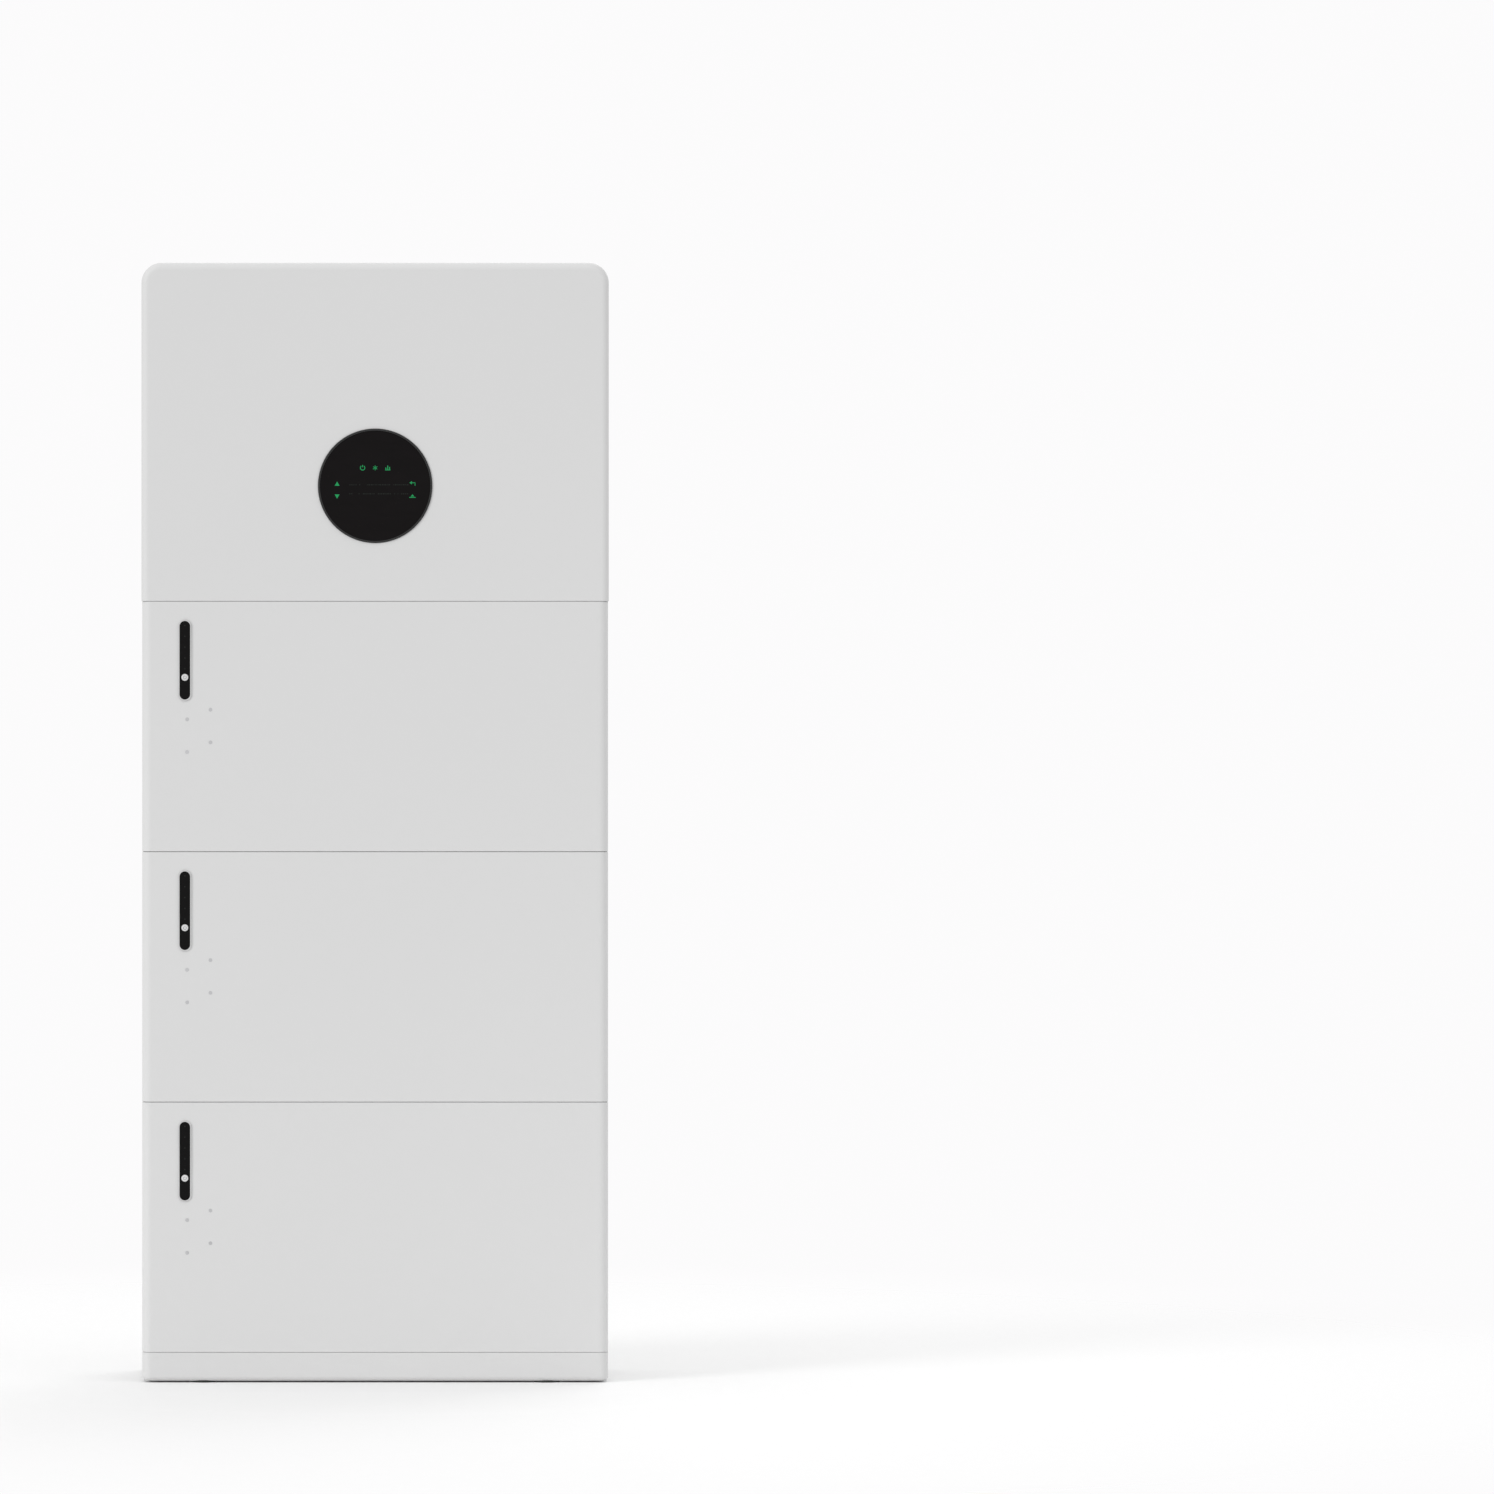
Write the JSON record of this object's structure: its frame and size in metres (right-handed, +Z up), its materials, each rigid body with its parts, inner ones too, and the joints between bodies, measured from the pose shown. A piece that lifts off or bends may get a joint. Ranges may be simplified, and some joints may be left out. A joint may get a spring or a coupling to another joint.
{
  "type": "stacked home battery with inverter",
  "caption": "Floor-standing home battery tower: a low plinth, stacked light-grey battery modules with black indicator bars, and an inverter with a round black touch display.",
  "frame": {"origin": "on the floor under the middle of the stack's outline", "axes": "+Z up, -Y towards the front covers and display, +X to the right seen from the front"},
  "size_m": [0.652, 0.24, 1.5615],
  "materials": {
    "cover_paint": "fine light-grey powder coat, satin",
    "case_paint": "light-grey powder coat on sheet steel",
    "cast_paint": "light-grey powder coat over die-cast aluminium",
    "bar_lens": "black tinted gloss polycarbonate",
    "button": "light-grey satin keycap",
    "circuit_board": "green solder-masked glass-fibre board",
    "cell_can": "aluminium cell cans in blue sleeving",
    "dark_moulding": "dark-grey moulded nylon, fine grain",
    "handle": "black moulded grip, fine grain",
    "bezel_trim": "mid-grey moulded trim",
    "light_pipe": "frosted light-pipe ends",
    "seal": "closed-cell foam rubber",
    "screw_steel": "zinc-plated steel",
    "cell_tray": "black flame-retardant moulding",
    "busbar_copper": "nickel-flashed copper strip",
    "connector_black": "black glass-filled nylon",
    "pad_rubber": "black rubber",
    "bracket_steel": "zinc-coated steel, grey",
    "display_trim": "black gloss trim ring",
    "display_glass": "black touch panel, hard coated",
    "inductor_winding": "enamelled copper winding",
    "capacitor_sleeve": "dark-blue sleeved cans",
    "knob_red": "red moulded knob",
    "breaker_case": "light-grey breaker housing",
    "clear_flap": "clear smoked polycarbonate flap",
    "gland": "black nylon gland"
  },
  "bodies": {
    "stack": {"module_1_case": "case_paint", "module_1_front_cover": "cover_paint", "module_1_bar_lens": "bar_lens", "module_1_indicator_board": "circuit_board", "module_1_cells": "cell_can", "module_1_bms_board": "circuit_board", "module_1_handle_cups": "dark_moulding", "module_2_case": "case_paint", "module_2_front_cover": "cover_paint", "module_2_bar_lens": "bar_lens", "module_2_indicator_board": "circuit_board", "module_2_cells": "cell_can", "module_2_bms_board": "circuit_board", "module_2_handle_cups": "dark_moulding", "module_3_case": "case_paint", "module_3_front_cover": "cover_paint", "module_3_bar_lens": "bar_lens", "module_3_indicator_board": "circuit_board", "module_3_cells": "cell_can", "module_3_bms_board": "circuit_board", "module_3_handle_cups": "dark_moulding", "bar_bezels": "bezel_trim", "light_pipes": "light_pipe", "module_gaskets": "seal", "cover_screws": "screw_steel", "cell_trays": "cell_tray", "busbars": "busbar_copper", "stack_dowels": "screw_steel", "stack_connectors": "connector_black", "base_plinth": "case_paint", "base_pads": "pad_rubber", "wall_bracket": "bracket_steel", "inverter_chassis": "cast_paint", "inverter_front_cover": "cover_paint", "inverter_gasket": "seal", "display_bezel": "display_trim", "display_lens": "display_glass", "display_board": "circuit_board", "main_board": "circuit_board", "inductors": "inductor_winding", "capacitors": "capacitor_sleeve", "switch_tray": "dark_moulding", "connector_tray": "dark_moulding", "dc_switch_body": "connector_black", "breaker_body": "breaker_case", "pv_connectors": "connector_black", "cable_glands": "gland", "earth_stud": "screw_steel"},
    "button_1": {"module_1_power_button": "button"},
    "left_handle_1": {"module_1_left_handle": "handle"},
    "right_handle_1": {"module_1_right_handle": "handle"},
    "button_2": {"module_2_power_button": "button"},
    "left_handle_2": {"module_2_left_handle": "handle"},
    "right_handle_2": {"module_2_right_handle": "handle"},
    "button_3": {"module_3_power_button": "button"},
    "left_handle_3": {"module_3_left_handle": "handle"},
    "right_handle_3": {"module_3_right_handle": "handle"},
    "isolator_knob": {"dc_switch_knob": "knob_red"},
    "breaker_toggle": {"breaker_lever": "connector_black"},
    "breaker_cover": {"breaker_flap": "clear_flap"}
  },
  "joints": [
    {"name": "button_1_press", "type": "slide", "parent": "stack", "child": "button_1", "axis": [0, 1, 0], "range_m": [0, 0.0015], "stiffness_N_per_m": 1200, "springref_m": -0.0005},
    {"name": "left_handle_1_swing", "type": "hinge", "parent": "stack", "child": "left_handle_1", "pos_m": [-0.312, 0.01, 0.2915], "axis": [0, 1, 0], "range_deg": [0, 85]},
    {"name": "right_handle_1_swing", "type": "hinge", "parent": "stack", "child": "right_handle_1", "pos_m": [0.312, 0.01, 0.2915], "axis": [0, -1, 0], "range_deg": [0, 85]},
    {"name": "button_2_press", "type": "slide", "parent": "stack", "child": "button_2", "axis": [0, 1, 0], "range_m": [0, 0.0015], "stiffness_N_per_m": 1200, "springref_m": -0.0005},
    {"name": "left_handle_2_swing", "type": "hinge", "parent": "stack", "child": "left_handle_2", "pos_m": [-0.312, 0.01, 0.6405], "axis": [0, 1, 0], "range_deg": [0, 85]},
    {"name": "right_handle_2_swing", "type": "hinge", "parent": "stack", "child": "right_handle_2", "pos_m": [0.312, 0.01, 0.6405], "axis": [0, -1, 0], "range_deg": [0, 85]},
    {"name": "button_3_press", "type": "slide", "parent": "stack", "child": "button_3", "axis": [0, 1, 0], "range_m": [0, 0.0015], "stiffness_N_per_m": 1200, "springref_m": -0.0005},
    {"name": "left_handle_3_swing", "type": "hinge", "parent": "stack", "child": "left_handle_3", "pos_m": [-0.312, 0.01, 0.9895], "axis": [0, 1, 0], "range_deg": [0, 85]},
    {"name": "right_handle_3_swing", "type": "hinge", "parent": "stack", "child": "right_handle_3", "pos_m": [0.312, 0.01, 0.9895], "axis": [0, -1, 0], "range_deg": [0, 85]},
    {"name": "isolator_turn", "type": "hinge", "parent": "stack", "child": "isolator_knob", "pos_m": [-0.2965, 0, 1.319], "axis": [-1, 0, 0], "range_deg": [0, 90]},
    {"name": "breaker_toggle_throw", "type": "hinge", "parent": "stack", "child": "breaker_toggle", "pos_m": [-0.295, 0, 1.219], "axis": [0, -1, 0], "range_deg": [0, 50]},
    {"name": "breaker_cover_lift", "type": "hinge", "parent": "stack", "child": "breaker_cover", "pos_m": [-0.302, 0, 1.259], "axis": [0, 1, 0], "range_deg": [0, 105]}
  ]
}
